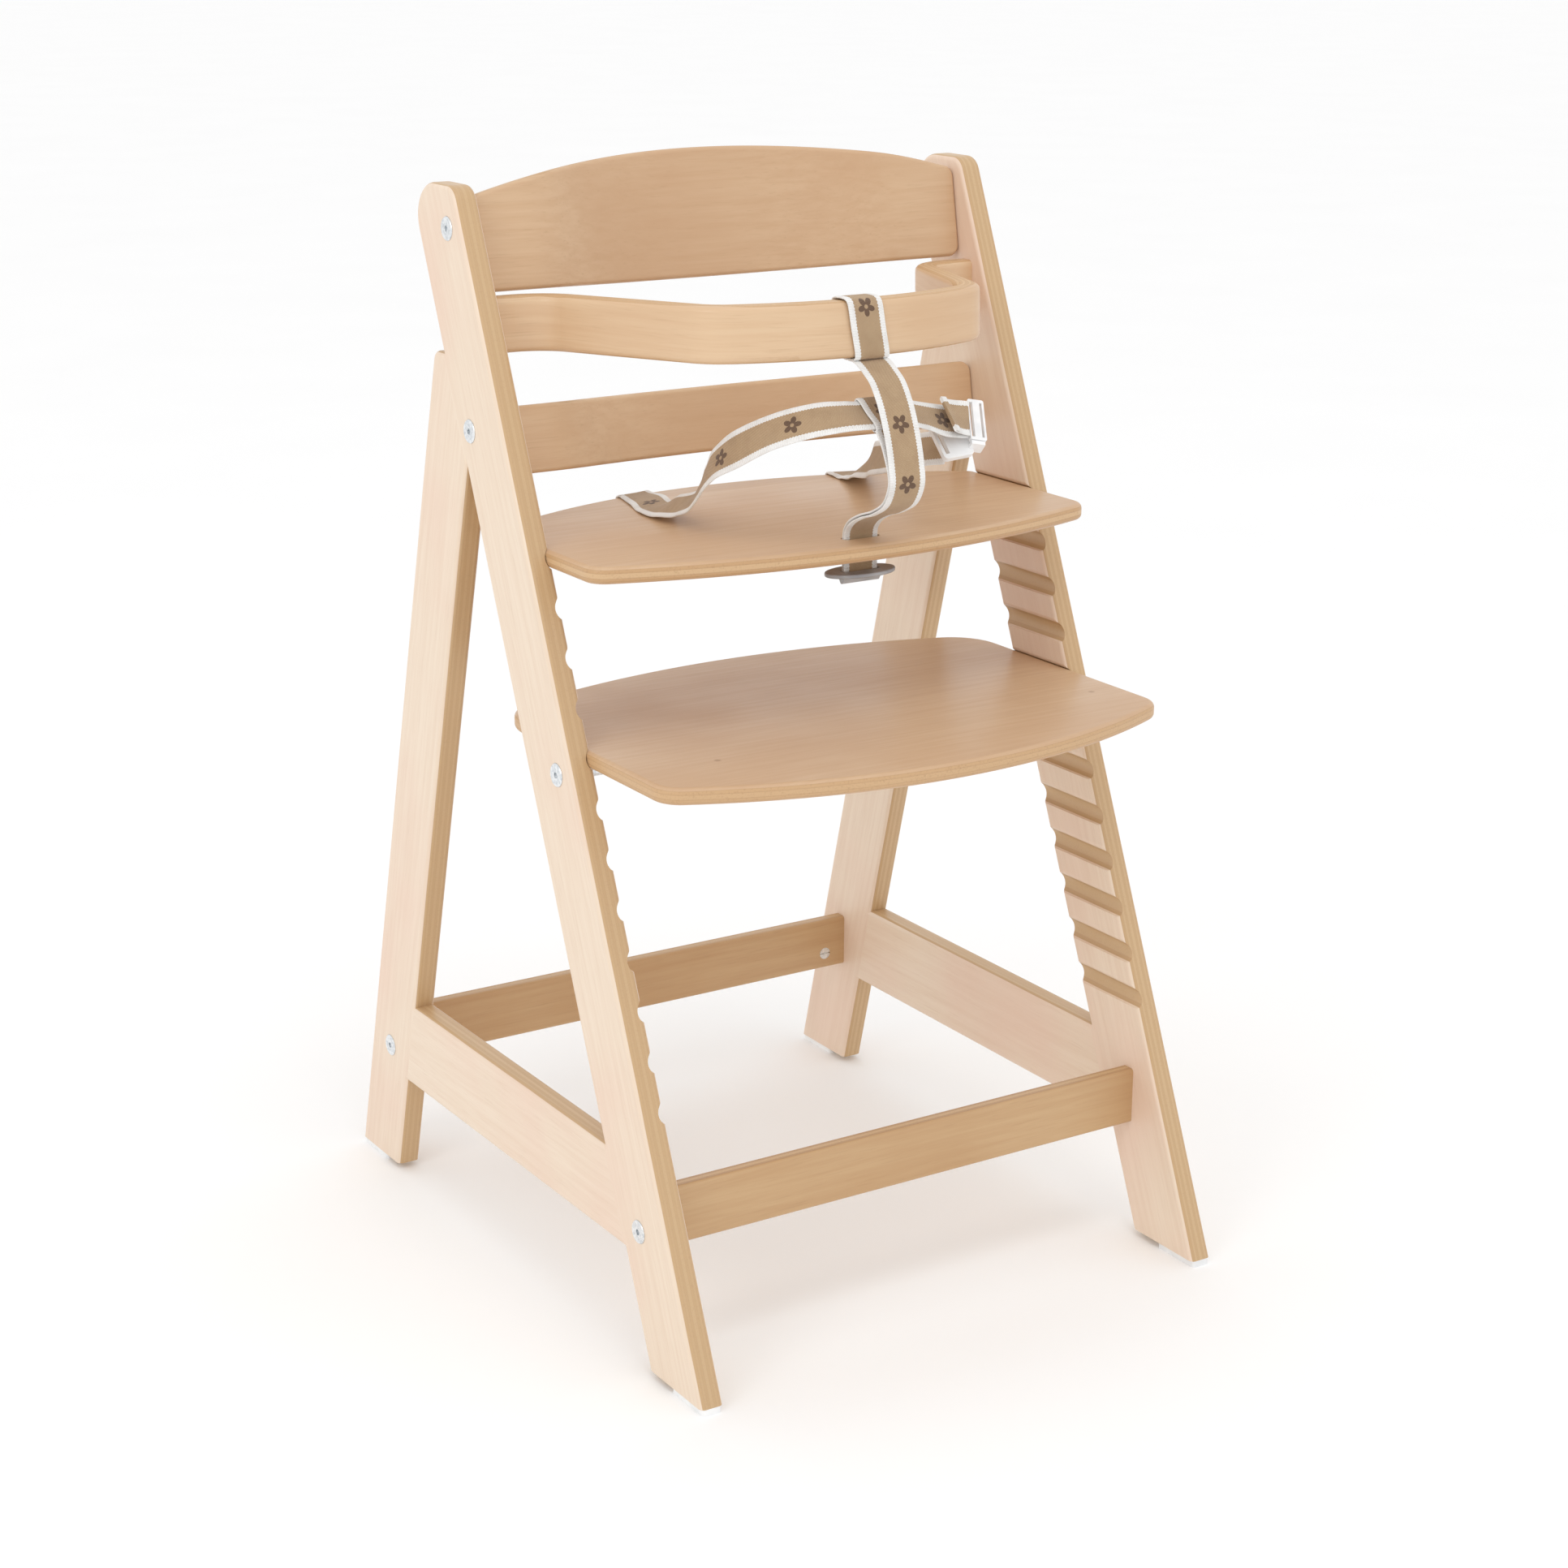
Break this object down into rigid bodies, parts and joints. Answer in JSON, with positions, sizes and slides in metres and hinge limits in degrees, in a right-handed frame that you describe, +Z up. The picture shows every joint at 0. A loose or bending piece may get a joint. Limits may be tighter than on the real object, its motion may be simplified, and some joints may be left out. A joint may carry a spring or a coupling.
{
  "type": "high chair",
  "caption": "Wooden high chair with raked grooved side frames, sliding seat and footrest boards, bent backrests, a safety hoop and a webbing harness.",
  "frame": {"origin": "centre of the bounding box at the floor, in the chair's middle plane", "axes": "+Z up, the chair faces -Y, X across the chair"},
  "size_m": [0.4442, 0.537, 0.7998],
  "materials": {
    "pale_ply": "satin clear lacquer on pale plywood",
    "warm_ply": "satin clear lacquer on warm beech plywood",
    "dowel_beech": "plain beech dowel",
    "zinc_steel": "bright zinc",
    "glide_plastic": "moulded white",
    "buckle_plastic": "moulded white",
    "grey_plastic": "moulded grey",
    "webbing": "beige twill webbing with white edges"
  },
  "bodies": {
    "frame": {"left_upright": "pale_ply", "right_upright": "pale_ply", "left_rear_leg": "pale_ply", "right_rear_leg": "pale_ply", "left_side_rail": "pale_ply", "right_side_rail": "pale_ply", "left_frame_dowels": "dowel_beech", "right_frame_dowels": "dowel_beech", "front_rail": "warm_ply", "rear_rail": "warm_ply", "upper_backrest": "warm_ply", "lower_backrest": "warm_ply", "slat_dowels": "dowel_beech", "safety_hoop": "warm_ply", "hoop_dowels": "dowel_beech", "tie_rod": "zinc_steel", "upper_backrest_bolts": "zinc_steel", "lower_backrest_bolts": "zinc_steel", "tie_rod_bolts": "zinc_steel", "front_rail_bolts": "zinc_steel", "rear_rail_bolts": "zinc_steel", "backrest_nuts": "zinc_steel", "rail_nuts": "zinc_steel", "left_front_glide": "glide_plastic", "right_front_glide": "glide_plastic", "left_rear_glide": "glide_plastic", "right_rear_glide": "glide_plastic", "crotch_strap": "webbing"},
    "seat": {"seat_board": "warm_ply", "strap_loop": "webbing", "waist_strap_long": "webbing", "strap_tail": "webbing", "waist_strap_short": "webbing", "buckle_frame": "buckle_plastic", "buckle_body": "buckle_plastic", "anchor_plate": "grey_plastic", "strap_keeper": "grey_plastic"},
    "footrest": {"footrest_board": "warm_ply"}
  },
  "joints": [
    {"name": "seat_slide", "type": "slide", "parent": "frame", "child": "seat", "axis": [0, -1, 0], "range_m": [-0.02, 0.03], "deforming": ["crotch_strap"]},
    {"name": "footrest_slide", "type": "slide", "parent": "frame", "child": "footrest", "axis": [0, -1, 0], "range_m": [-0.05, 0.05]}
  ]
}
